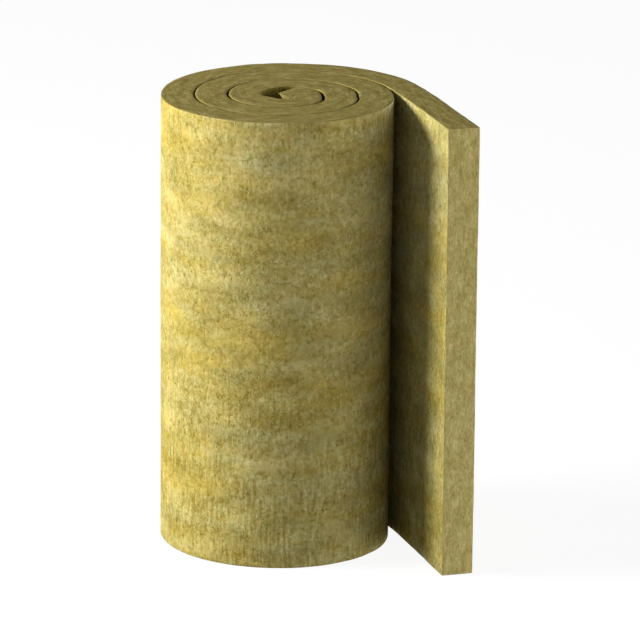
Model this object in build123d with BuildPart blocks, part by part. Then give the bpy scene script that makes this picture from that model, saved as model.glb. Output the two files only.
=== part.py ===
"""Mineral wool insulation roll: one mat wound into a roll that stands on its end, its free end led off as a tail.

The frame has its origin on the winding axis at the floor, +Z up along that axis, and -Y towards the side
where the tail ends. Seen from above, the mat winds outwards clockwise.

The section is a four-centre spiral. Each quarter turn is an arc about one corner of a small square, and each
arc is longer in radius than the one before by the square's side, so the two faces of the mat are concentric
arcs that run smoothly into each other. Quarter 0 starts on the +X side of the axis.

Inside the roll the turns press together, so the body there is solid round its open eye. At both ends the
seams between the turns stand open, and the end layers have the whole spiral section.
"""

import os

from build123d import *

# Mat, in millimetres
mat_width = 1000.0  # sawn width, which is the height of the standing roll
mat_thickness = 70.0

# Winding, in millimetres and degrees
quarters_in_turn = 4
quarter_angle = 90.0
half_turn_angle = 180.0
turn_gap = 3.5  # width of the seam between one turn and the next
seam_depth = 12.0  # how far the seams stand open at each end of the roll
eye_radius = 27.0  # inner face of the mat on quarter 0
full_quarters = 11  # quarter turns that are wound whole
last_quarter_angle = 66.0  # part of the next quarter before the mat leaves the roll

# Inner end of the mat, folded into the eye
heel_angle = 55.0  # how far the fold stays shut, from the start of quarter 0
bevel_angle = 80.0  # where the torn bevel meets the outer face, from the +X side
tip_shares = (-0.69, 0.62)  # place of the tip from the axis, in shares of eye_radius

# Tail: eased off the roll on a wide bend, then straight to the sawn end
tail_easing = 1000.0  # how much wider than the last quarter the bend is
tail_bend_angle = 6.0
tail_run = 270.0

turn_pitch = mat_thickness + turn_gap
quarter_step = turn_pitch / quarters_in_turn
seam_radius = turn_gap / 2
first_centre = Vector(-quarter_step / 2, -quarter_step / 2)


def quarter_centre(quarter):
    """The corner of the square that this quarter turns about."""
    return first_centre.rotate(Axis.Z, -quarter_angle * quarter)


def quarter_start(quarter):
    """The angle from +X at which this quarter starts."""
    return -quarter_angle * quarter


def inner_radius(quarter):
    """Radius of the mat's face that looks at the axis."""
    return eye_radius + quarter_step * quarter


def outer_radius(quarter):
    """Radius of the mat's face that looks away from the axis."""
    return inner_radius(quarter) + mat_thickness


def face_arc(face_radius, quarter, start_angle=0, end_angle=quarter_angle):
    """One face of the mat on one quarter, or on the stretch of it between two angles from its start."""
    return CenterArc(
        quarter_centre(quarter),
        face_radius(quarter),
        quarter_start(quarter) - start_angle,
        start_angle - end_angle,
    )


# Where the tail begins: its bend has its centre behind that of the last quarter, on one line with the joint
leaving_angle = quarter_start(full_quarters) - last_quarter_angle
leaving_direction = Vector(1, 0).rotate(Axis.Z, leaving_angle)
tail_centre = quarter_centre(full_quarters) - leaving_direction * tail_easing
tail_heading = leaving_direction.rotate(Axis.Z, -quarter_angle - tail_bend_angle)

# The quarter that lies just inside the last one, one whole turn before it
covered_quarter = full_quarters - quarters_in_turn


def tail_outline():
    """Both faces of the tail, bend and straight run, and its sawn end."""
    far_ends = []
    for face_radius in (inner_radius, outer_radius):
        bend = CenterArc(tail_centre, face_radius(full_quarters) + tail_easing, leaving_angle, -tail_bend_angle)
        run = Line(bend @ 1, bend @ 1 + tail_heading * tail_run)
        far_ends.append(run @ 1)
    Line(*far_ends)


def inner_end_outline(back, heel):
    """The torn bevel and the end face of the inner end, from its back by the tip to its heel."""
    tip = Vector(*tip_shares) * eye_radius
    Line(back, tip)
    Line(tip, heel)


with BuildSketch() as spiral_section:
    with BuildLine() as spiral_outline:
        # Both faces of the wound mat, quarter by quarter
        for face_radius in (inner_radius, outer_radius):
            for quarter in range(full_quarters):
                face_arc(face_radius, quarter)
            face_arc(face_radius, full_quarters, end_angle=last_quarter_angle)
        tail_outline()

        # Inner end: the back of the fold, the seam that its heel shuts, and the torn end
        fold_back = CenterArc(quarter_centre(-1), outer_radius(-1), bevel_angle, -bevel_angle)
        fold_heel = CenterArc(quarter_centre(0), eye_radius - turn_gap, 0, -heel_angle)
        seam_end = quarter_centre(0) + Vector(eye_radius - seam_radius, 0)
        CenterArc(seam_end, seam_radius, 0, half_turn_angle)
        inner_end_outline(fold_back @ 0, fold_heel @ 1)
    make_face()

with BuildSketch() as pressed_section:
    with BuildLine() as pressed_outline:
        # The outer face of the last whole turn, from where the tail leaves the roll round to there again
        face_arc(outer_radius, covered_quarter, start_angle=last_quarter_angle)
        for quarter in range(covered_quarter + 1, full_quarters):
            face_arc(outer_radius, quarter)
        face_arc(outer_radius, full_quarters, end_angle=last_quarter_angle)
        tail_outline()

        # Root of the wedge between the tail and the roll
        root_radius = outer_radius(covered_quarter) + seam_radius
        root_place = quarter_centre(covered_quarter) + leaving_direction * root_radius
        CenterArc(root_place, seam_radius, leaving_angle, half_turn_angle)
    make_face()

    with BuildLine() as eye_outline:
        # Round the inner face of the mat, from the heel of the fold to its bevel, and back along the torn end
        first_face = face_arc(inner_radius, 0, start_angle=heel_angle)
        for quarter in range(1, quarters_in_turn - 1):
            face_arc(inner_radius, quarter)
        last_face = face_arc(inner_radius, quarters_in_turn - 1, end_angle=quarter_angle - bevel_angle)
        Line(fold_heel @ 1, first_face @ 0)
        Line(last_face @ 1, fold_back @ 0)
        inner_end_outline(fold_back @ 0, fold_heel @ 1)
    make_face(mode=Mode.SUBTRACT)

with BuildPart() as rolled_mat:
    with BuildSketch():
        add(spiral_section.sketch)
    extrude(amount=seam_depth)
    with BuildSketch(Plane.XY.offset(seam_depth)):
        add(pressed_section.sketch)
    extrude(amount=mat_width - 2 * seam_depth)
    with BuildSketch(Plane.XY.offset(mat_width - seam_depth)):
        add(spiral_section.sketch)
    extrude(amount=seam_depth)

rolled_mat.part.label = "rolled_mat"

os.makedirs("parts", exist_ok=True)
export_step(rolled_mat.part, "parts/rolled_mat.step")

mat_length = spiral_section.sketch.area / mat_thickness
print("mat length", round(mat_length), "mm, volume", round(rolled_mat.part.volume), "cubic mm")
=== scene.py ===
# %% [markdown]
# # A roll of mineral wool
#
# This lesson dresses a roll of insulation: a thick mat of felted stone fibres, wound up and stood on its end,
# with its loose end led off to one side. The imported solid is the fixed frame. It says how big the roll is and
# where it stands, and everything below is built round it, in metres, in the same place.

# %% Load the frame
from types import SimpleNamespace

import bpy
import numpy as np
from mathutils import Matrix, Vector


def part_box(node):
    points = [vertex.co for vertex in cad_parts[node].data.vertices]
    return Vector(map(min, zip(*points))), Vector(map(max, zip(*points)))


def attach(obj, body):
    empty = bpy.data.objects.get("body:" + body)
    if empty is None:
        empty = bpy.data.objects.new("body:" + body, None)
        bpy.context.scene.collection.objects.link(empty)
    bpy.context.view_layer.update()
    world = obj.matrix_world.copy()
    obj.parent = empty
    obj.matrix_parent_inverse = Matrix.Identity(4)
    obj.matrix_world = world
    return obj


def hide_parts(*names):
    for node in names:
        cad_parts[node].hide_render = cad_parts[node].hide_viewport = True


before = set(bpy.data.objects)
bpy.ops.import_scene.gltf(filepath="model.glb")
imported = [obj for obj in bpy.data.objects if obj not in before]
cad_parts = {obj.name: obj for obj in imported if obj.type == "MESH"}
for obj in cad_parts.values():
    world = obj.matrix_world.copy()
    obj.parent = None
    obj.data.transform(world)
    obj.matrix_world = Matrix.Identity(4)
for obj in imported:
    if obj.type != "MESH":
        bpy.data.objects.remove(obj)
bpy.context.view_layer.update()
floor_level, roll_top = (corner[2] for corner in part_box("rolled_mat"))
MAT_WIDTH = roll_top - floor_level
print(len(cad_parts), "packed node, standing", round(MAT_WIDTH, 4), "m high")

# %% [markdown]
# ## The camera
#
# The picture was taken from far off with a long lens, looking a little down, so upright edges stay almost
# parallel. A lens length in pixels and a distance say this best. The script turns them into a lens in
# millimetres, and builds the camera's matrix from a tilt and a slight roll about its own axis.

# %% Camera
PICTURE_SIDE = 640  # pixels
LENS_PIXELS = 5580.7
SENSOR_WIDTH = 36.0  # millimetres
CAMERA_AIM = (0.0788, 0.0, 0.4909)
CAMERA_DISTANCE = 12.26
CAMERA_TILT = np.radians(16.3)  # down from level
CAMERA_ROLL = np.radians(0.53)
VIEW_REACH = 200.0  # metres

camera_data = bpy.data.cameras.new("camera")
camera_data.sensor_width = SENSOR_WIDTH
camera_data.lens = LENS_PIXELS / PICTURE_SIDE * SENSOR_WIDTH
camera_data.clip_end = VIEW_REACH
camera = bpy.data.objects.new("camera", camera_data)
bpy.context.scene.collection.objects.link(camera)
camera.matrix_world = (
    Matrix.Translation(CAMERA_AIM)
    @ Matrix.Rotation(np.pi / 2 - CAMERA_TILT, 4, "X")
    @ Matrix.Rotation(CAMERA_ROLL, 4, "Z")
    @ Matrix.Translation((0, 0, CAMERA_DISTANCE))
)
bpy.context.scene.camera = camera
print("lens", round(camera_data.lens, 1), "mm")

# %% [markdown]
# ## How the mat is wound
#
# A rolled mat keeps its thickness, so its two faces stay the same distance apart all the way round. A spiral
# of quarter circles does exactly that. Each quarter turns about one corner of a small square, with a radius
# longer than the last by the square's side, and the two faces are arcs about the same corner. The loose end,
# the tail, is one more arc, much wider, and then a straight run. Any place on the mat then has a simple
# address: how far along the mat, how far through it, and how far across its width.

# %% Wind the mat
MAT_THICKNESS = 0.070
SEAM_WIDTH = 0.0035
EYE_RADIUS = 0.027
FULL_QUARTERS = 11
LAST_QUARTER = np.radians(66)
TAIL_EASING = 1.0  # how much wider than the last quarter the tail's bend is
TAIL_BEND = np.radians(6)
TAIL_RUN = 0.270
QUARTERS_IN_TURN = 4
FIRST_CORNER = np.radians(225)  # where the centre of quarter 0 lies, seen from the axis

QUARTER = 2 * np.pi / QUARTERS_IN_TURN
step = (MAT_THICKNESS + SEAM_WIDTH) / QUARTERS_IN_TURN


def direction(angle):
    """The level unit vector at each angle from +X."""
    return np.stack([np.cos(angle), np.sin(angle)], axis=-1)


def quarter_centre(quarter):
    """The corner of the small square that a quarter turns about, one corner further clockwise each time."""
    return step / np.sqrt(2) * direction(FIRST_CORNER - QUARTER * np.asarray(quarter))


print("each quarter is", round(1000 * step, 2), "mm longer in radius than the last")

# %% Arcs of the mat
quarters = np.arange(FULL_QUARTERS + 1)
leaving_angle = -QUARTER * FULL_QUARTERS - LAST_QUARTER
arc_angles = np.append(-QUARTER * quarters, leaving_angle)
arc_sweeps = np.append(np.full(FULL_QUARTERS, QUARTER), (LAST_QUARTER, TAIL_BEND))
arc_radii = EYE_RADIUS + step * np.append(quarters, FULL_QUARTERS)
arc_radii[-1] += TAIL_EASING
tail_centre = quarter_centre(FULL_QUARTERS) - TAIL_EASING * direction(leaving_angle)
arc_centres = np.vstack([quarter_centre(quarters), tail_centre])
middle_radii = arc_radii + MAT_THICKNESS / 2
arc_starts = np.append(0, np.cumsum(middle_radii * arc_sweeps))
tail_start = arc_starts[-2]
run_start = arc_starts[-1]
mat_end = run_start + TAIL_RUN
tail_heading = direction(leaving_angle - TAIL_BEND - QUARTER)
print("mat", round(mat_end, 3), "m long, tail", round(mat_end - tail_start, 3), "m")


# %% Faces of the wound mat
def wound_faces(along):
    """Inner and outer face at lengths along the middle of the mat.

    On an arc a point is the arc's centre plus its radius, turned back from the arc's start by the length
    covered divided by the middle radius. Past the last arc the mat runs straight on.
    """
    arc = np.clip(np.searchsorted(arc_starts, along, side="right") - 1, 0, len(arc_radii) - 1)
    covered = np.minimum(along, run_start) - arc_starts[arc]
    outward = direction(arc_angles[arc] - covered / middle_radii[arc])
    run = np.maximum(along - run_start, 0)[:, None] * tail_heading
    inner = arc_centres[arc] + arc_radii[arc, None] * outward + run
    return inner, inner + MAT_THICKNESS * outward


_, first_outer = wound_faces(np.zeros(1))
print("the outer face starts at", first_outer.round(3).tolist())

# %% [markdown]
# ## The folded inner end
#
# Before it winds, the mat's inner end is doubled back on itself, so the eye of the roll is a comma and not a
# circle. Its layers bend round the end of the first seam, so rays from there make a good second set of
# addresses: a ray's foot is on the seam, and its tip runs along the back of the fold, the torn bevel, the end
# face and the heel that rests on the first turn.

# %% Fold the inner end
HEEL = np.radians(55)
BEVEL = np.radians(80)
TIP_SHARES = np.array((-0.69, 0.62))  # place of the tip, in shares of the eye's radius
FOLD_SEAM = 0.0002  # the fold is pressed almost shut
RAYS = {"back": 24, "bevel": 14, "end": 12, "heel": 6}


def between(start, end, count):
    """Numbers or points spread evenly from start to end, without start itself."""
    return np.linspace(start, end, count + 1)[1:]


fold_tip = TIP_SHARES * EYE_RADIUS
back_turns = between(0, BEVEL, RAYS["back"])
heel_turns = between(-HEEL, 0, RAYS["heel"])
back = quarter_centre(-1) + (EYE_RADIUS - step + MAT_THICKNESS) * direction(back_turns)
heel_corner = quarter_centre(0) + (EYE_RADIUS - FOLD_SEAM) * direction(-HEEL)
heel = quarter_centre(0) + (EYE_RADIUS - FOLD_SEAM) * direction(heel_turns)
bevel = between(back[-1], fold_tip, RAYS["bevel"])
end_face = between(fold_tip, heel_corner, RAYS["end"])
ray_tips = np.vstack([back, bevel, end_face, heel])
print("fold of", len(ray_tips), "rays, its tip at", fold_tip.round(4).tolist())

# %% Feet and lengths of the rays
TORN = (0.0, 1.0, 1.0, 0.0)  # which stretches of rays are torn
FOOT_TURNS = np.radians((0, 85, 150, 180, 180))  # round the seam's end, where each stretch stops

seam_radius = FOLD_SEAM / 2
seam_end = quarter_centre(0) + (EYE_RADIUS - seam_radius, 0)
foot_limits = zip(FOOT_TURNS, FOOT_TURNS[1:], RAYS.values())
foot_turns = np.concatenate([between(start, end, count) for start, end, count in foot_limits])
ray_feet = seam_end + seam_radius * direction(foot_turns)
ray_torn = np.repeat(TORN, list(RAYS.values()))
ray_along = -np.cumsum(np.linalg.norm(np.diff(np.vstack([first_outer, ray_tips]), axis=0), axis=1))
back_end = ray_along[RAYS["back"] - 1]
print("fold", round(-ray_along[-1], 3), "m round its outline, torn from", round(back_end, 3), "m")

# %% [markdown]
# ## How the turns lie
#
# No roll is wound as evenly as a drawing. Near the eye the turns have settled out of round, some seams gape,
# and at the front and the back of the roll the turns press closer than at its sides. Sculpting the mesh could
# show that. A few bell-shaped shifts of the plan and a slack between the turns do it with numbers instead,
# each with a place, a reach and a size, so that any of them is easy to change.

# %% Settle the turns
SETTLING = (  # place, reach and shift of the spots where the turns lie off the even spiral
    ((0.108, 0.0), 0.045, (-0.008, 0.0)),
    ((0.183, 0.0), 0.035, (-0.004, 0.0)),
    ((-0.037, 0.004), 0.018, (0.004, 0.0)),
    ((-0.032, -0.022), 0.016, (0.002, 0.009)),
    ((-0.032, 0.028), 0.016, (0.002, -0.005)),
)


def settled(plan):
    """The plan of the turns as they lie: each spot is shifted, less and less with the distance from it."""
    moved = plan.copy()
    for place, reach, shift in SETTLING:
        distance = np.linalg.norm(plan - place, axis=1)
        moved += np.exp(-((distance / reach) ** 2))[:, None] * shift
    return moved


print(len(SETTLING), "spots where the turns have settled")

# %% Slack between the turns
WEDGE_LEAD = np.radians(6)  # how far inside the wedge between roll and tail the bare face starts
SEAM_PRESS = 0.0025  # how much tighter the seams are at the front and the back of the roll
PRESS_ONSET = 0.03  # length over which the press sets in, from the torn bevel on
PRESS_RELEASE = 0.10  # and over which it lets go, before the wedge
OPENINGS = (  # place along the mat, reach and depth of the spots where a seam gapes
    (-0.015, 0.055, 0.0034),
    (arc_starts[2], 0.060, 0.0010),
    (arc_starts[4], 0.070, 0.0018),
    (arc_starts[6], 0.080, 0.0010),
)

covered_quarter = FULL_QUARTERS - QUARTERS_IN_TURN
bare_turn = LAST_QUARTER - WEDGE_LEAD
bare_start = arc_starts[covered_quarter] + middle_radii[covered_quarter] * bare_turn


def slack(run, facing):
    """How far the outer face stays back from the next turn.

    Where a turn covers it, it presses closer by the square of the sine of the angle it faces, which is most
    at the front and the back. Each opening then sets it back by a bell curve along the mat.
    """
    onset = np.clip((run - back_end) / PRESS_ONSET, 0, 1)
    covered = onset * np.clip((bare_start - run) / PRESS_RELEASE, 0, 1)
    gape = sum(depth * np.exp(-(((run - place) / reach) ** 2)) for place, reach, depth in OPENINGS)
    return gape - SEAM_PRESS * covered * facing[:, 1] ** 2


print("the outer face is bare from", round(bare_start, 3), "m along the mat")

# %% [markdown]
# ## Stations along the mat
#
# The mesh is a ring of points carried along the mat from station to station. The faces that show, the outside
# of the last turn and both faces of the tail, get a station every few millimetres. The turns inside show only
# their ends, so their stations stand further apart. The last stations draw in a little, which rounds the four
# edges of the sawn end.

# %% Lay out the stations
BARE_SPACING = 0.0064
COVERED_SPACING = 0.0085
END_ROUNDING = 0.0008
END_STEPS = 3


def evenly(start, end, spacing):
    """Numbers from start to end, no further apart than the spacing."""
    return np.linspace(start, end, int(np.ceil((end - start) / spacing)) + 1)


covered_along = evenly(0, bare_start, COVERED_SPACING)
led_along = evenly(bare_start, tail_start, BARE_SPACING)[1:]
tail_along = evenly(tail_start, mat_end - END_ROUNDING, BARE_SPACING)[1:]
end_turn = between(0, QUARTER, END_STEPS)
end_along = mat_end - END_ROUNDING * (1 - np.sin(end_turn))
wound_along = np.concatenate([covered_along, led_along, tail_along, end_along])
along = np.concatenate([ray_along[::-1], wound_along])
every_row = np.arange(len(along))
outer_switch = len(ray_along) + len(covered_along)  # first station with a finely divided outer face
inner_switch = outer_switch + len(led_along)  # first station with a finely divided inner face
print(len(along), "stations")

# %% Plan of the mat
SHORTEST = 1e-9  # keeps a ray of no length from dividing by zero

wound_inner, wound_outer = wound_faces(wound_along)
inner = settled(np.vstack([ray_feet[::-1], wound_inner]))
outer = settled(np.vstack([ray_tips[::-1], wound_outer]))
through = outer - inner
outward = through / np.maximum(np.linalg.norm(through, axis=1), SHORTEST)[:, None]
through = through - slack(along, outward)[:, None] * outward
thickness = np.linalg.norm(through, axis=1)

torn = np.concatenate([ray_torn[::-1], np.zeros(len(wound_along))])
drawn_in = np.zeros(len(along))
drawn_in[-END_STEPS:] = END_ROUNDING * (1 - np.cos(end_turn))
end_share = np.zeros(len(along))
end_share[-END_STEPS:] = np.sin(end_turn)
print("the mat is up to", round(1000 * float(thickness.max()), 1), "mm thick")

# %% [markdown]
# ## Room in the seams
#
# Every face swells and sinks a little, and where two turns lie close, one would cut through the other. The
# fibres of a real roll give way there. Flat faces would do too, but then the seams would run dead even across
# the ends. So the relief of a covered face may fill less than half of its seam, and there is none where the
# heel of the fold rests on the first turn.

# %% Room in the seams
SEAM_SHARE = 0.4  # how much of a seam the relief of each side may fill
HEEL_RELEASE = 0.03  # length over which the first turn gets its relief, beyond the heel

heel_length = HEEL * middle_radii[0]
seam_room = SEAM_SHARE * (SEAM_WIDTH - SEAM_PRESS * outward[:, 1] ** 2)
outer_room = np.where(every_row < outer_switch, seam_room, MAT_THICKNESS)
outer_room[: RAYS["heel"] + 1] = 0
inner_room = np.where(every_row < inner_switch, seam_room, MAT_THICKNESS)
inner_room = inner_room * np.clip((along - heel_length) / HEEL_RELEASE, 0, 1)
print("the tightest seam leaves", round(1000 * float(seam_room.min()), 2), "mm to each side")

# %% [markdown]
# ## Relief
#
# Felted wool is never flat. Its faces swell and sink by about a millimetre over a third of a metre, with
# lumps, flutes and dents between, and its sawn ends have low ridges. All of that is lattice noise: random
# numbers on the corners of cells, eased from corner to corner. A displacement in the material would not show
# in the outline, so the noise is added to the points here. Finer grain is left to the material's bump.

# %% Lattice noise
TABLE_SIDE = 256


def lattice_noise(x, y, size, seed):
    """Numbers from -1 to 1: random values on a lattice of cells, eased between the corners by 3t^2 - 2t^3."""
    table = np.random.default_rng(seed).uniform(-1, 1, (TABLE_SIDE, TABLE_SIDE))
    size_x, size_y = np.broadcast_to(size, 2)
    column, x_share = np.divmod(x / size_x, 1)
    row, y_share = np.divmod(y / size_y, 1)
    x_share = x_share * x_share * (3 - 2 * x_share)
    y_share = y_share * y_share * (3 - 2 * y_share)
    left, right = ((column.astype(int) + side) % TABLE_SIDE for side in (0, 1))
    low, high = ((row.astype(int) + side) % TABLE_SIDE for side in (0, 1))
    lower = table[left, low] * (1 - x_share) + table[right, low] * x_share
    upper = table[left, high] * (1 - x_share) + table[right, high] * x_share
    return lower * (1 - y_share) + upper * y_share


print("the noise repeats after", TABLE_SIDE, "cells")

# %% Relief of the faces and ends
SEEDS = {"outer": 10, "inner": 20, "top": 30, "foot": 35, "bruise": 40, "tear": 50, "end": 60}
FACE_WAVES = (  # height and breadth of each
    (0.0010, 0.30),  # swell
    (0.0003, 0.060),  # lumps
    (0.00015, (0.016, 0.09)),  # upright flutes
    (0.00015, 0.018),  # pebbling
)
SAWN_WAVES = (
    (0.0004, (0.060, 0.009)),  # low ridges along the layers of felt
    (0.0003, 0.022),  # small lumps
)
DENT_DEPTH = 0.008
DENT_BREADTH = 0.10
DENT_LIMIT = 0.55  # dents are where their noise is above this


def waves(x, y, kinds, seed):
    """A sum of noises, each with its own height and breadth."""
    parts = enumerate(kinds, start=seed)
    return sum(height * lattice_noise(x, y, breadth, part_seed) for part_seed, (height, breadth) in parts)


def face_relief(run, level, seed):
    """How far a face stands out: its waves, less a few dents as deep as the square of what passes a limit."""
    dent_noise = lattice_noise(run, level, DENT_BREADTH, seed + len(FACE_WAVES))
    dents = np.clip(dent_noise - DENT_LIMIT, 0, None) ** 2
    return waves(run, level, FACE_WAVES, seed) - DENT_DEPTH * dents


sample = face_relief(along[:, None], np.linspace(0, MAT_WIDTH, 50), SEEDS["outer"])
print("a face spans", round(1000 * float(np.ptp(sample)), 2), "mm")

# %% [markdown]
# ## Worn and torn edges
#
# The sawn edges of the mat are rounded by handling and bruised in patches, and the inner end in the eye is
# torn, so it is ragged and hollow below its edge. A bevel modifier could round the edges, but not in patches.
# Here the bruise fades with the distance from the edge, and the tear draws the end back by noise and by an
# undercut that soon levels off.

# %% Worn and torn edges
ARRIS = 0.0007  # radius of the worn edges
BRUISE = 0.0003
BRUISE_REACH = 0.003  # how far a bruised edge softens the faces beside it
BRUISE_PATCH = (0.030, 2.0)  # along the mat and across it
TEAR = 0.0025
TEAR_BREADTH = 0.010
UNDERCUT = 0.014  # how far the torn end draws back below its edge
UNDERCUT_REACH = 0.008


def bruised(run, level, from_edge, fullness):
    """How far an edge is pressed in: an exponential of the distance from it, times noise along the mat."""
    bruise = BRUISE * fullness * np.exp(-from_edge / BRUISE_REACH)
    return bruise * (1 + lattice_noise(run, level, BRUISE_PATCH, SEEDS["bruise"]))


def torn_back(run, level, from_end):
    """How far the torn end draws back: ragged by noise, and undercut by one minus an exponential."""
    ragged = TEAR * np.abs(lattice_noise(run, level, TEAR_BREADTH, SEEDS["tear"]))
    return ragged + UNDERCUT * (1 - np.exp(-from_end / UNDERCUT_REACH))


print("edges worn by", round(1000 * ARRIS, 2), "mm, the torn end undercut by", round(1000 * UNDERCUT), "mm")

# %% [markdown]
# ## From an address to a point
#
# Everything so far says where an address on the flat mat lies in the roll. One function does the sum for whole
# arrays of addresses: the plan of the station, carried through the mat by the depth, then the relief, the
# bruises and the tear. A modifier on a finished spiral would have to find the way outwards again at each
# point, and here the plan has it at hand.


# %% Points of the mat
def faces_lean(rows, share, run, level):
    """How far points lean outwards: the relief of both faces, held within the seams and shared by depth."""
    room = outer_room[rows, None]
    outer_lean = np.clip(face_relief(run, level, SEEDS["outer"]), -room, room)
    room = inner_room[rows, None]
    inner_lean = np.clip(face_relief(run, level, SEEDS["inner"]), -room, room)
    return outer_lean * share + inner_lean * (1 - share)


def mat_points(rows, depth_share, height):
    """Points of the mat, one row for each station and one column for each place on the ring round it.

    A point lies between the inner and the outer face by its share of the depth, at its height. The relief of
    the surfaces near it is added: outwards on the faces, upwards on the ends and forwards on the tail's end.
    Returns the points, their addresses on the flat mat, and how far each is on a cut, on the tail's sawn end
    and on a face that another turn covers.
    """
    run = along[rows, None]
    inset = drawn_in[rows, None]
    share = 0.5 + (depth_share - 0.5) * (1 - 2 * inset / MAT_THICKNESS)
    level = MAT_WIDTH / 2 + (height - MAT_WIDTH / 2) * (1 - 2 * inset / MAT_WIDTH)
    depth = share * MAT_THICKNESS
    from_face = np.minimum(depth, MAT_THICKNESS - depth)
    from_end = np.minimum(level, MAT_WIDTH - level)
    sawn = np.clip(1 - from_end / ARRIS, 0, 1)
    fullness = thickness[rows, None] / MAT_THICKNESS
    bruise = bruised(run, level, np.maximum(from_face, from_end), fullness)

    rag = torn_back(run, level, from_end) * torn[rows, None] * share
    lean = faces_lean(rows, share, run, level) * fullness - bruise * np.sign(share - 0.5) - rag
    forward = end_share[rows, None] * waves(level, depth, SAWN_WAVES, SEEDS["end"])
    plan = inner[rows, None] + through[rows, None] * share[..., None]
    plan = plan + outward[rows, None] * lean[..., None] + tail_heading * forward[..., None]

    is_top = level > MAT_WIDTH / 2
    top_rise = waves(run, depth, SAWN_WAVES, SEEDS["top"])
    foot_rise = np.abs(waves(run, depth, SAWN_WAVES, SEEDS["foot"]))
    rise = fullness * np.where(is_top, top_rise, foot_rise) * sawn + np.where(is_top, -bruise, bruise)
    position = np.dstack([plan, floor_level + level + rise])
    place = np.dstack(np.broadcast_arrays(run, depth, level))
    tail_end = np.broadcast_to(end_share[rows, None], sawn.shape)
    cut = np.maximum(np.maximum(sawn, tail_end), torn[rows, None] * share)
    covered = rows[:, None] < np.where(share > 0.5, outer_switch, inner_switch)
    return position, place, np.stack([cut, tail_end, covered], axis=-1)


corner_points, _, _ = mat_points(np.array([-1]), np.array([0, 1]), np.array([MAT_WIDTH, MAT_WIDTH]))
print("top corners of the tail's end at", corner_points.round(3).tolist())

# %% [markdown]
# ## The ring round the mat
#
# Cut the mat across and its outline is a tall, thin rectangle with worn corners. Each long side of it is a
# face of the mat, with a quarter circle at the top and the bottom. Where a face shows, its levels are as
# close as the stations. Inside the roll only the first few centimetres can be seen, so there each level lies
# deeper than the one before it by a fixed ratio.

# %% Profile of the ring
ARRIS_STEPS = 3
CAP_STEPS = 12
COVERED_LEVELS = 10
COVERED_GROWTH = 1.6

arris_share = ARRIS / MAT_THICKNESS
arris_turn = np.linspace(QUARTER, 0, ARRIS_STEPS + 1)
cap_share = np.linspace(0, 1, CAP_STEPS + 1)
cap_depth = arris_share + (1 - 2 * arris_share) * cap_share

bare_levels = evenly(ARRIS, MAT_WIDTH - ARRIS, BARE_SPACING)[-2:0:-1]
near_levels = ARRIS * COVERED_GROWTH ** np.arange(1, COVERED_LEVELS + 1)
covered_levels = np.concatenate([MAT_WIDTH - near_levels, [MAT_WIDTH / 2], near_levels[::-1]])


def side_profile(levels):
    """One side of the ring from top to bottom: how deep each point is sunk below the face, and its height.

    Both worn corners are quarter circles. Going down, the turn runs from a right angle to nothing: a point is
    sunk by one minus its cosine, and lies below the top by one minus its sine.
    """
    corner_sunk = arris_share * (1 - np.cos(arris_turn))
    corner_drop = ARRIS * (1 - np.sin(arris_turn))
    sunk = np.concatenate([corner_sunk, np.zeros(len(levels)), corner_sunk[::-1]])
    height = np.concatenate([MAT_WIDTH - corner_drop, levels, corner_drop[::-1]])
    return sunk, height


bare_side = side_profile(bare_levels)
covered_side = side_profile(covered_levels)
print(len(bare_side[1]), "levels on a bare face,", len(covered_side[1]), "on a covered one")

# %% [markdown]
# ## The mat as grids
#
# Each surface of the mat is a grid: its two faces, its two sawn edges and the sawn end of the tail. One grid
# for all would spend most of its points inside the roll, where nothing shows. So a face is coarse up to the
# station where it comes into view and fine from there on, and a strip of triangles joins the two columns.

# %% Blocks and strips
points, places, cuts, quads, triangles = [], [], [], [], []


def keep_points(position, place, cut):
    """Put a block of points away and return their numbers, in the block's own rows and columns."""
    start = sum(len(block) for block in points)
    points.append(position.reshape(-1, 3))
    places.append(place.reshape(-1, 3))
    cuts.append(cut.reshape(-1, 3))
    return start + np.arange(position[..., 0].size).reshape(position.shape[:-1])


def grid_quads(numbers):
    """Quads between neighbouring rows and columns of numbered points."""
    corners = [numbers[:-1, :-1], numbers[1:, :-1], numbers[1:, 1:], numbers[:-1, 1:]]
    return np.stack(corners, axis=-1).reshape(-1, 4)


def keep_strip(coarse, fine, coarse_height, fine_height, order):
    """Triangles between two columns of points with different levels.

    Each edge of the fine column reaches to the nearest coarse point. Each edge of the coarse column reaches
    to the fine point where its two ends' shares meet.
    """
    middles = (fine_height[:-1] + fine_height[1:]) / 2
    limits = (coarse_height[:-1] + coarse_height[1:]) / 2
    owner = np.searchsorted(-limits, -middles)
    meeting = np.searchsorted(owner, np.arange(1, len(coarse)))
    triangles.append(np.stack([coarse[owner], fine[:-1], fine[1:]], axis=-1)[:, ::order])
    triangles.append(np.stack([coarse[:-1], fine[meeting], coarse[1:]], axis=-1)[:, ::order])


print("a strip joins", len(covered_side[1]), "points to", len(bare_side[1]))


# %% Grids of the mat
def keep_face(switch, order):
    """One whole face of the mat, coarse up to the station where it shows and fine from there on.

    The order is 1 for the outer face and -1 for the inner one, which is seen from its other side.
    """
    blocks = []
    spans = (np.arange(switch), np.arange(switch, len(along)))
    for rows, (sunk, height) in zip(spans, (covered_side, bare_side)):
        depth_share = 1 - sunk if order == 1 else sunk
        numbers = keep_points(*mat_points(rows, depth_share, height))
        quads.append(grid_quads(numbers[:, ::order]))
        blocks.append(numbers)
    keep_strip(blocks[0][-1], blocks[1][0], covered_side[1], bare_side[1], order)


keep_face(outer_switch, 1)
keep_face(inner_switch, -1)
top_height = np.full(CAP_STEPS + 1, MAT_WIDTH)
quads.append(grid_quads(keep_points(*mat_points(every_row, cap_depth, top_height))))
quads.append(grid_quads(keep_points(*mat_points(every_row, cap_depth[::-1], 0 * top_height))))
print("faces and edges:", sum(len(block) for block in points), "points")

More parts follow.
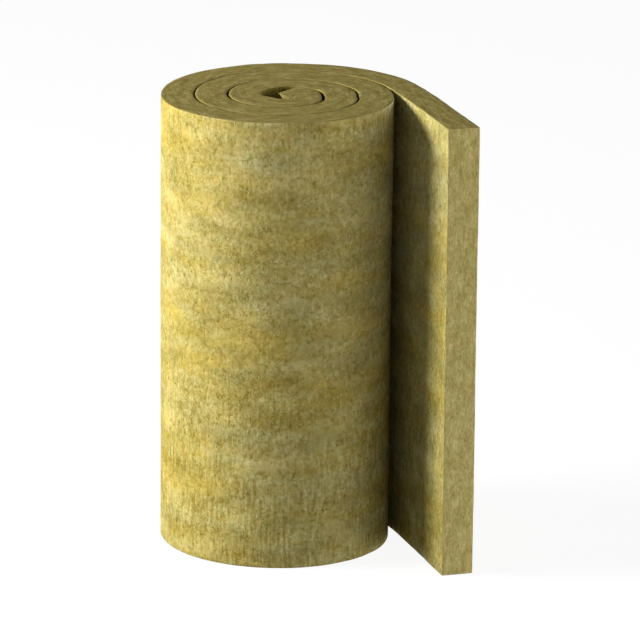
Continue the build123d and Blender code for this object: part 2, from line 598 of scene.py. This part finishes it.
# %% Sawn end of the tail
end_sunk, end_height = (column[::-1] for column in bare_side)
end_depth = end_sunk + (1 - 2 * end_sunk) * cap_share[:, None]
end_level = np.broadcast_to(end_height, end_depth.shape)
end_numbers = keep_points(*mat_points(every_row[-1:], end_depth.ravel(), end_level.ravel()))
quads.append(grid_quads(end_numbers.reshape(end_depth.shape)))
print("sawn end:", end_depth.size, "points")

# %% [markdown]
# ## One closed mesh
#
# The mat is one piece, so its mesh is closed, with nothing loose inside. The grids repeat the points of their
# common edges. Points that agree to a thousandth of a millimetre become one, and what shrank to a line is
# dropped. Each point also keeps its address on the flat mat, which the finish will read.

# %% Weld the grids
WELD = 1e-6  # metres


def welded(corners, number_of):
    """Faces of the welded points: those left whole, and those with one side shrunk to a point."""
    corners = number_of[corners]
    same = corners == np.roll(corners, -1, axis=1)
    pinched = np.flatnonzero(same.sum(axis=1) == 1)
    after = np.argmax(same[pinched], axis=1)[:, None] + np.arange(1, corners.shape[1])
    return corners[~same.any(axis=1)], corners[pinched[:, None], after % corners.shape[1]]


raw = np.concatenate(points)
_, first_of, number_of = np.unique(np.round(raw / WELD), axis=0, return_index=True, return_inverse=True)
mat_quads, pinched_quads = welded(np.concatenate(quads), number_of.ravel())
mat_triangles, _ = welded(np.concatenate(triangles), number_of.ravel())
mat_triangles = np.concatenate([mat_triangles, pinched_quads])
print(2 * len(mat_quads) + len(mat_triangles), "triangles,", len(raw), "points welded to", len(first_of))


# %% Make the mesh
def mesh_piece(name, position, quads, triangles):
    """An object of the given quads and triangles, shaded smooth."""
    mesh = bpy.data.meshes.new(name)
    corners = np.concatenate([quads.ravel(), triangles.ravel()]).astype(np.int32)
    counts = np.repeat([4, 3], [len(quads), len(triangles)])
    starts = np.append(0, np.cumsum(counts)[:-1]).astype(np.int32)
    mesh.vertices.add(len(position))
    mesh.vertices.foreach_set("co", position.astype(np.float32).ravel())
    mesh.loops.add(len(corners))
    mesh.loops.foreach_set("vertex_index", corners)
    mesh.polygons.add(len(counts))
    mesh.polygons.foreach_set("loop_start", starts)
    mesh.polygons.foreach_set("use_smooth", np.ones(len(counts), bool))
    mesh.update(calc_edges=True)
    print(name, "needed repair" if mesh.validate() else "is sound")
    piece = bpy.data.objects.new(name, mesh)
    bpy.context.scene.collection.objects.link(piece)
    return piece


def address_points(piece, name, kind, field, values):
    """Store one value for each point of the piece, for its material to read."""
    attribute = piece.data.attributes.new(name, kind, "POINT")
    attribute.data.foreach_set(field, values.astype(np.float32).ravel())


wool_mat = mesh_piece("wool_mat", raw[first_of], mat_quads, mat_triangles)
address_points(wool_mat, "mat_place", "FLOAT_VECTOR", "vector", np.concatenate(places)[first_of])
for name, values in zip(("sawn", "tail_end_cut", "covered"), np.concatenate(cuts)[first_of].T):
    address_points(wool_mat, name, "FLOAT", "value", values)
mesh = wool_mat.data
print("its Euler number is", len(mesh.vertices) - len(mesh.edges) + len(mesh.polygons))

# %% [markdown]
# ## Shader sums as Python
#
# A finish is a sum of many noises. It could be built by hand in the shader editor, but a sum is easier to
# read as a sum. The class below wraps one output of a shader node. Its operators add Math nodes, so that
# `1 - mask` is a wire again, and one method adds any other node: settings first, then the numbers or wires
# of its inputs.


# %% Wires
class Wire:
    """One output of a shader node, with arithmetic."""

    def __init__(self, socket):
        self.socket = socket

    def node(self, kind, settings=None, inputs=None, output=0):
        """Add a node beside this wire, set it up and return one of its outputs as a wire."""
        tree = self.socket.id_data
        made = tree.nodes.new(kind)
        for name, value in (settings or {}).items():
            setattr(made, name, value)
        for name, value in (inputs or {}).items():
            if isinstance(value, Wire):
                tree.links.new(value.socket, made.inputs[name])
            else:
                made.inputs[name].default_value = value
        return Wire(made.outputs[output])

    def math(self, operation, first, second):
        """A Math node on two numbers or wires."""
        return self.node("ShaderNodeMath", {"operation": operation}, {0: first, 1: second})

    def __add__(self, other):
        return self.math("ADD", self, other)

    def __sub__(self, other):
        return self.math("SUBTRACT", self, other)

    def __rsub__(self, other):
        return self.math("SUBTRACT", other, self)

    def __mul__(self, other):
        return self.math("MULTIPLY", self, other)

    def __abs__(self):
        return self.math("ABSOLUTE", self, 0.0)

    __radd__ = __add__
    __rmul__ = __mul__

    def part(self, axis):
        """One of the three numbers of this wire, by the letter of its axis."""
        return self.node("ShaderNodeSeparateXYZ", {}, {0: self}, axis)

    def eased(self, low, high):
        """A mask that rises smoothly from 0 where the wire is low to 1 where it is high."""
        limits = {"Value": self, "From Min": low, "From Max": high}
        return self.node("ShaderNodeMapRange", {"interpolation_type": "SMOOTHSTEP"}, limits)

    def blend(self, first, second):
        """The first colour where this mask is 0, and the second where it is 1."""
        settings = {"data_type": "RGBA", "blend_type": "MIX"}
        return self.node("ShaderNodeMix", settings, {0: self, 6: first, 7: second}, 2)


print("wires ready")

# %% [markdown]
# ## Noise on the flat mat
#
# Stone wool is spun from molten rock, sprayed with binder and laid down in thin layers, so every pattern in
# it belongs to the flat mat. A texture that reads the place in the room would cut straight through the
# turns. These noises read the address on the mat instead. The clouds then run unbroken round the roll, and
# the layers bend with it.

# %% Noise on the flat mat
SEED_SHIFT = (7.3, 3.1, 5.7)  # how far apart in the noise two seeds lie, in cells
SPECK_EDGE = 0.4  # share of a speck's radius inside which it is fully dark


def mat_spot(place, size, seed):
    """The address on the mat in cells of the given size, moved to a part of the noise of its own."""
    shrink = tuple(1 / length for length in size)
    shift = tuple(seed * length for length in SEED_SHIFT)
    return place.node("ShaderNodeVectorMath", {"operation": "MULTIPLY_ADD"}, {0: place, 1: shrink, 2: shift})


def felt_noise(place, size, seed, detail=2.0, roughness=0.5):
    """Noise about zero, with tufts of the given sizes along, through and across the mat."""
    inputs = {"Vector": mat_spot(place, size, seed), "Scale": 1.0, "Detail": detail, "Roughness": roughness}
    return place.node("ShaderNodeTexNoise", {"noise_dimensions": "3D"}, inputs) - 0.5


def shot(place, cell, radius, seed):
    """A mask of small round specks, one at a random place in each cell."""
    inputs = {"Vector": mat_spot(place, (cell,) * 3, seed), "Scale": 1.0}
    distance = place.node("ShaderNodeTexVoronoi", {}, inputs)
    return distance.eased(radius / cell, SPECK_EDGE * radius / cell)


print("noise in cells along, through and across the mat")

# %% [markdown]
# ## Tone of the fibres
#
# Where fibres lie open they are pale and grey, and between them the felt is dark and brown. A mix of a dark
# and a pale colour turns such darks muddy. Here the tone is an exponent: the colour is multiplied by one tint
# to the power of the tone, so equal steps of tone are equal ratios, down as well as up. The broad mottle has
# a greyer tint than the fibres. Faint stains shift the colour a little to rust or to olive.

# %% Tone of the fibres
FIBRE_TINT = (2.10, 2.24, 3.79, 1)  # a whole step of tone multiplies the colour by this
MOTTLE_TINT = (1.78, 1.80, 2.16, 1)  # and a whole step of mottle by this
RUSTY_TINT = (1.018, 0.988, 0.992, 1)
OLIVE_TINT = (0.982, 1.012, 1.008, 1)
STAIN_CONTRAST = 3.0


def tinted(colour, tint):
    """The two colours multiplied."""
    settings = {"data_type": "RGBA", "blend_type": "MULTIPLY"}
    return tint.node("ShaderNodeMix", settings, {0: 1.0, 6: colour, 7: tint}, 2)


def toned(colour, tone, tint):
    """The colour times the tint to the power of the tone."""
    return tinted(colour, tone.node("ShaderNodeGamma", {}, {"Color": tint, "Gamma": tone}))


def stained(colour, place):
    """The colour with faint stains, rusty in some spots and olive in others."""
    stains = felt_noise(place, (0.032, 0.020, 0.028), seed=17)
    return tinted(colour, (0.5 + STAIN_CONTRAST * stains).blend(RUSTY_TINT, OLIVE_TINT))


print("a step of tone multiplies the colour by", FIBRE_TINT[:3])

# %% [markdown]
# ## Painted shade on sheltered faces
#
# Shade is painted into the colour here. The faces inside the roll, the tail's inner face and the foot of the
# mat are made darker than the rest. The roll and the tail also look at each other across a wedge, and the light
# that plain felt throws back there would turn it orange. On the real roll it stays olive and darkens towards
# the floor, so the felt in the wedge is painted greyer against that light, with a painted darker foot. The
# address says which points lie there, so no second material is needed.

# %% Painted shade on sheltered faces
FOOT_PAINTED_SHADE = 0.2  # painted shade: the foot is darker than the top by this much tone
COVERED_PAINTED_SHADE = 0.6  # painted shade: the faces inside the roll are darker by this much
TAIL_PAINTED_SHADE = 0.15  # painted shade on the inner face of the tail, this much tone
TAIL_ONSET = TAIL_RUN / 4  # length over which the tail's inner face comes into the wedge
INNER_DEPTHS = (0.05, 0.02)  # between these depths the outer side of the mat gives way to the inner
WEDGE_REACH = 0.36  # length of the roll's face that looks into the wedge
WEDGE_FOOT_PAINTED_SHADE = 3.0  # how much more the painted shade darkens the foot there
# painted against the warm bounce light in the wedge: greyer and a little darker
WEDGE_PAINTED_COOL_TINT = (0.93, 1.03, 1.42, 1)
TAIL_SHARE = 0.4  # how much of that the tail gets
WHITE = (1, 1, 1, 1)


def wedge_sides(place, covered):
    """Masks of the two faces that look at each other across the wedge: the roll's and the tail's."""
    run = place.part("X")
    roll_side = run.eased(bare_start + WEDGE_REACH, bare_start) * (1 - covered)
    tail_side = run.eased(tail_start, tail_start + TAIL_ONSET) * place.part("Y").eased(*INNER_DEPTHS)
    return roll_side, tail_side


def painted_shade(height_share, covered, wedge, tail_side):
    """The tone that painted shade adds: less towards the foot, on covered faces and on the tail's inner face.
    """
    foot = FOOT_PAINTED_SHADE * (1 + WEDGE_FOOT_PAINTED_SHADE * wedge)
    return foot * (height_share - 0.5) - COVERED_PAINTED_SHADE * covered - TAIL_PAINTED_SHADE * tail_side


print("the wedge reaches", WEDGE_REACH, "m round the roll")

# %% [markdown]
# ## The felted face
#
# A face of the mat shows soft clouds, golden where the binder gathered and pale where it is thin. Over them
# lies a fine grain of fibres, a little longer upwards than round the roll, with pale flakes that have cracked
# rims, upright creases that are strongest near the foot and the top, crinkles in bands and dark specks of
# unspun rock. A scan could give all that, but only for one stretch. Noises of the right sizes give it
# everywhere, and the same noises feed the bump.


# %% Patterns of a face
def face_patterns(place, height_share):
    """The noises of a face, and the masks made from them by easing them between two limits."""
    felt = SimpleNamespace()
    felt.clouds = felt_noise(place, (0.22, 0.22, 0.075), seed=1, detail=3.0, roughness=0.8)
    felt.mottle = felt_noise(place, (0.100, 0.100, 0.045), seed=3, detail=0.0)
    felt.fibres = felt_noise(place, (0.012, 0.012, 0.015), seed=4, roughness=1.0)
    felt.grain = felt_noise(place, (0.0055, 0.0055, 0.0075), seed=15, detail=0.0)
    felt.relief = felt_noise(place, (0.050, 0.050, 0.060), seed=9, detail=5.0, roughness=0.55)
    flaking = felt_noise(place, (0.075, 0.075, 0.050), seed=16)
    bands = felt_noise(place, (0.30, 0.30, 0.085), seed=6)
    worms = abs(felt_noise(place, (0.011, 0.011, 0.013), seed=7, detail=1.0))

    pressed_foot = height_share.eased(0.50, 0.25) * bands.eased(-0.14, 0.04)
    pressed = 0.3 + pressed_foot + 0.5 * height_share.eased(0.92, 0.97)
    felt.creases = felt_noise(place, (0.0055, 0.0055, 0.040), seed=5) * pressed
    felt.dashes = felt_noise(place, (0.0035, 0.0035, 0.010), seed=8, detail=1.0).eased(0.11, 0.26)
    felt.flakes = flaking.eased(0.09, 0.15)
    cracked_rims = abs(flaking - 0.08).eased(0.025, 0.0)
    felt.cracks = cracked_rims * bands.eased(0.04, -0.08) * felt.fibres.eased(0.04, -0.06)
    felt.crinkles = worms.eased(0.035, 0.0) * bands.eased(-0.08, 0.06)
    felt.pits = shot(place, cell=0.040, radius=0.0035, seed=10) * felt.fibres.eased(0.06, -0.06)
    return felt


def weighted(patterns, weights):
    """The sum of some of the patterns, each times its weight."""
    first, *rest = (weight * getattr(patterns, name) for name, weight in weights.items())
    return sum(rest, first)


print("a face has clouds, mottle, fibres, grain, creases, dashes, flakes, cracks, crinkles and pits")

# %% Face of the mat
GOLD = (0.384, 0.294, 0.0625, 1)
PALE_STRAW = (0.400, 0.340, 0.1165, 1)
CLOUD_CONTRAST = 3.4
FIBRE_TONES = {"fibres": 1.65, "grain": 0.5, "creases": 1.1, "dashes": -0.35}
PALE_EASING = 0.25  # how far the palest fibres are held back
FLAKE_CALM = 0.5  # share of the fibres' contrast that a flake smooths away
FLAW_TONES = {"flakes": 0.12, "crinkles": -0.4, "cracks": -0.3, "pits": -0.4}
FACE_BUMPS = {"relief": 0.0027, "fibres": 0.0009, "grain": 0.0004, "creases": 0.0008, "flakes": 0.0005}
FACE_HOLLOWS = {"dashes": -0.0003, "crinkles": -0.0003, "cracks": -0.0004, "pits": -0.0010}


def felted_face(place, covered):
    """Colour and height of a face: clouds choose the colour, the other patterns its tone and height, and
    painted shade darkens the sheltered places.
    """
    height_share = place.part("Z") * (1 / MAT_WIDTH)
    felt = face_patterns(place, height_share)
    roll_side, tail_side = wedge_sides(place, covered)
    wedge = roll_side + TAIL_SHARE * tail_side

    rough = weighted(felt, FIBRE_TONES)
    rough = rough - PALE_EASING * rough * rough
    tone = rough * (1 - FLAKE_CALM * felt.flakes) + weighted(felt, FLAW_TONES)
    # painted shade: darker foot, covered faces and tail's inner face
    tone = tone + painted_shade(height_share, covered, wedge, tail_side)
    colour = toned((0.5 + CLOUD_CONTRAST * felt.clouds).blend(GOLD, PALE_STRAW), tone, FIBRE_TINT)
    colour = toned(colour, felt.mottle, MOTTLE_TINT)
    # painted cool tint in the wedge, against its warm bounce light
    colour = tinted(colour, wedge.blend(WHITE, WEDGE_PAINTED_COOL_TINT))
    return colour, weighted(felt, FACE_BUMPS | FACE_HOLLOWS)


print("faces run from", GOLD[:3], "to", PALE_STRAW[:3])

# %% [markdown]
# ## The sawn ends
#
# The saw cut across the layers, so the ends show them as fine streaks that follow the turns. The tail's end
# is paler. Streaks drawn on the mesh would need its points to follow them. A noise that is
# short through the mat and long along it follows the turns by itself.

# %% Sawn end of the mat
SAWN_STRAW = (0.348, 0.280, 0.083, 1)
TAIL_END_STRAW = (0.480, 0.387, 0.115, 1)
SAWN_TONES = {"layers": 2.6, "grain": 0.3, "pits": -0.4}
TAIL_END_TONES = {"layers": -0.7, "grain": 0.5}  # added on the tail's end
SAWN_BUMPS = {"relief": 0.0012, "pits": -0.0008}


def sawn_face(place, tail_end):
    """Colour and height of a cut end: thin layers that follow the mat, paler on the tail's end."""
    felt = SimpleNamespace()
    felt.layers = felt_noise(place, (0.045, 0.018, 0.045), seed=11, detail=3.0, roughness=1.0)
    felt.grain = felt_noise(place, (0.006, 0.003, 0.006), seed=12, detail=1.0)
    felt.relief = felt_noise(place, (0.040, 0.020, 0.040), seed=13, detail=3.0, roughness=0.55)
    felt.pits = shot(place, cell=0.030, radius=0.0025, seed=14)
    tone = weighted(felt, SAWN_TONES) + tail_end * weighted(felt, TAIL_END_TONES)
    colour = toned(tail_end.blend(SAWN_STRAW, TAIL_END_STRAW), tone, FIBRE_TINT)
    return colour, weighted(felt, SAWN_BUMPS)


print("cut ends run from", SAWN_STRAW[:3], "to", TAIL_END_STRAW[:3])

# %% [markdown]
# ## One finish for the whole mat
#
# Faces and cut ends are the same wool, so they share one material, and the values stored on the points say
# which is which. Two materials would meet in a hard line along every worn edge, where this one blends. Felt
# has no gloss, so the shader has no specular part, and one bump carries the grain of both.

# %% Material of the mat
FELT_ROUGHNESS = 0.95


def wool_finish():
    """The whole finish: felted faces, sawn ends, and one bump for both."""
    material = bpy.data.materials.new("mineral_wool")
    material.use_nodes = True
    tree = material.node_tree
    shader = tree.nodes["Principled BSDF"]
    address = tree.nodes.new("ShaderNodeAttribute")
    address.attribute_name = "mat_place"
    place = Wire(address.outputs["Vector"])
    stored = ({"attribute_name": name} for name in ("sawn", "tail_end_cut", "covered"))
    sawn, tail_end, covered = (place.node("ShaderNodeAttribute", name, {}, "Fac") for name in stored)

    face_colour, face_height = felted_face(place, covered)
    sawn_colour, sawn_height = sawn_face(place, tail_end)
    colour = stained(sawn.blend(face_colour, sawn_colour), place)
    height = face_height + sawn * (sawn_height - face_height)
    normal = place.node("ShaderNodeBump", {}, {"Height": height, "Strength": 1.0, "Distance": 1.0})
    tree.links.new(colour.socket, shader.inputs["Base Color"])
    tree.links.new(normal.socket, shader.inputs["Normal"])
    shader.inputs["Roughness"].default_value = FELT_ROUGHNESS
    shader.inputs["Specular IOR Level"].default_value = 0.0
    return material


wool = wool_finish()
wool_mat.data.materials.append(wool)
print("wool:", len(wool.node_tree.nodes), "nodes")

# %% [markdown]
# ## The floor
#
# The roll stands on a plain pale floor that curves up far off all round, so that no edge shows from any side.
# A height over a square grid makes it: level near the roll, then rising with the square of the distance. A
# lit floor would shade from side to side, so most of its brightness is a glow of its own, which keeps only a
# faint shadow. Bounced light passes it by, so it doesn't lighten the roll from below.

# %% Floor
FLOOR_REACH = 32.0
FLOOR_LEVEL_REACH = 16.0
FLOOR_RISE = 6.0
FLOOR_CELLS = 64

grid_line = np.linspace(-FLOOR_REACH, FLOOR_REACH, FLOOR_CELLS + 1)
floor_x, floor_y = np.meshgrid(grid_line, grid_line, indexing="ij")
beyond = np.clip(np.hypot(floor_x, floor_y) - FLOOR_LEVEL_REACH, 0, None)
floor_points = np.dstack([floor_x, floor_y, floor_level + beyond**2 / FLOOR_RISE])
floor_quads = grid_quads(np.arange(floor_x.size).reshape(floor_x.shape))
floor = mesh_piece("floor", floor_points.reshape(-1, 3), floor_quads, np.zeros((0, 3), int))
floor.visible_diffuse = False
floor.visible_shadow = False
print("floor", 2 * FLOOR_REACH, "m across")

# %% Material of the floor
FLOOR_GREY = 0.12
FLOOR_GLOW = 0.92

pale_floor = bpy.data.materials.new("pale_floor")
pale_floor.use_nodes = True
floor_shader = pale_floor.node_tree.nodes["Principled BSDF"]
floor_shader.inputs["Base Color"].default_value = (FLOOR_GREY, FLOOR_GREY, FLOOR_GREY, 1)
floor_shader.inputs["Roughness"].default_value = 1.0
floor_shader.inputs["Specular IOR Level"].default_value = 0.0
floor_shader.inputs["Emission Color"].default_value = WHITE
floor_shader.inputs["Emission Strength"].default_value = FLOOR_GLOW
floor.data.materials.append(pale_floor)
print("floor glows at", FLOOR_GLOW)

# %% [markdown]
# ## The lamp
#
# One broad lamp stands to the left, a little above the roll. It is wide enough to shade softly round the
# roll, and still throws the roll's shadow on the tail. A sun would draw that shadow too sharply.

# %% Lamp
KEY_AZIMUTH = np.radians(185)
KEY_ELEVATION = np.radians(18)
KEY_DISTANCE = 6.0
KEY_SIZE = (3.0, 2.0)
KEY_POWER = 680

key_data = bpy.data.lights.new("key", "AREA")
key_data.shape = "ELLIPSE"
key_data.size, key_data.size_y = KEY_SIZE
key_data.energy = KEY_POWER
key = bpy.data.objects.new("key", key_data)
bpy.context.scene.collection.objects.link(key)
key_level = np.cos(KEY_ELEVATION) * direction(KEY_AZIMUTH)
towards_key = Vector((*key_level, np.sin(KEY_ELEVATION)))
roll_middle = Vector((0, 0, floor_level + MAT_WIDTH / 2))
key_turn = towards_key.to_track_quat("Z", "Y").to_matrix().to_4x4()
key.matrix_world = Matrix.Translation(roll_middle + KEY_DISTANCE * towards_key) @ key_turn
print("key lamp at", [round(length, 2) for length in key.matrix_world.translation])

# %% [markdown]
# ## The room
#
# The rest of the light comes from the room: a band at eye level, brightest on the right, that falls off with
# a power of the height and of the turn away from +X. More lamps would each throw a shadow, where a room is
# soft. It rims the right side, while the tail keeps it off most of the wedge, which stays dark. It is a
# little cool, against the warm light that the wool throws back.

# %% Room
ROOM_LIGHT = 1.23
ROOM_TINT = (0.97, 1.0, 1.2, 1)
SIDE_LIGHT = 5.75  # more of it towards +X
ROOM_FADE = 3  # how fast the room darkens above and below eye level
SIDE_FADE = 4

world = bpy.data.worlds.new("room")
world.use_nodes = True
background = world.node_tree.nodes["Background"]
outlook = Wire(world.node_tree.nodes.new("ShaderNodeTexCoord").outputs["Generated"])
rightward = outlook.math("MAXIMUM", outlook.part("X"), 0.0)
eye_level = outlook.math("POWER", 1 - abs(outlook.part("Z")), ROOM_FADE)
room_glow = eye_level * (ROOM_LIGHT + SIDE_LIGHT * outlook.math("POWER", rightward, SIDE_FADE))
world.node_tree.links.new(room_glow.socket, background.inputs["Strength"])
background.inputs["Color"].default_value = ROOM_TINT
bpy.context.scene.world = world
bpy.context.scene.view_settings.view_transform = "Standard"
print("room light", ROOM_LIGHT, "at eye level,", SIDE_LIGHT, "more on the right")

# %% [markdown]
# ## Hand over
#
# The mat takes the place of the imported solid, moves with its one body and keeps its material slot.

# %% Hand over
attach(wool_mat, "root")
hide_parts("rolled_mat")
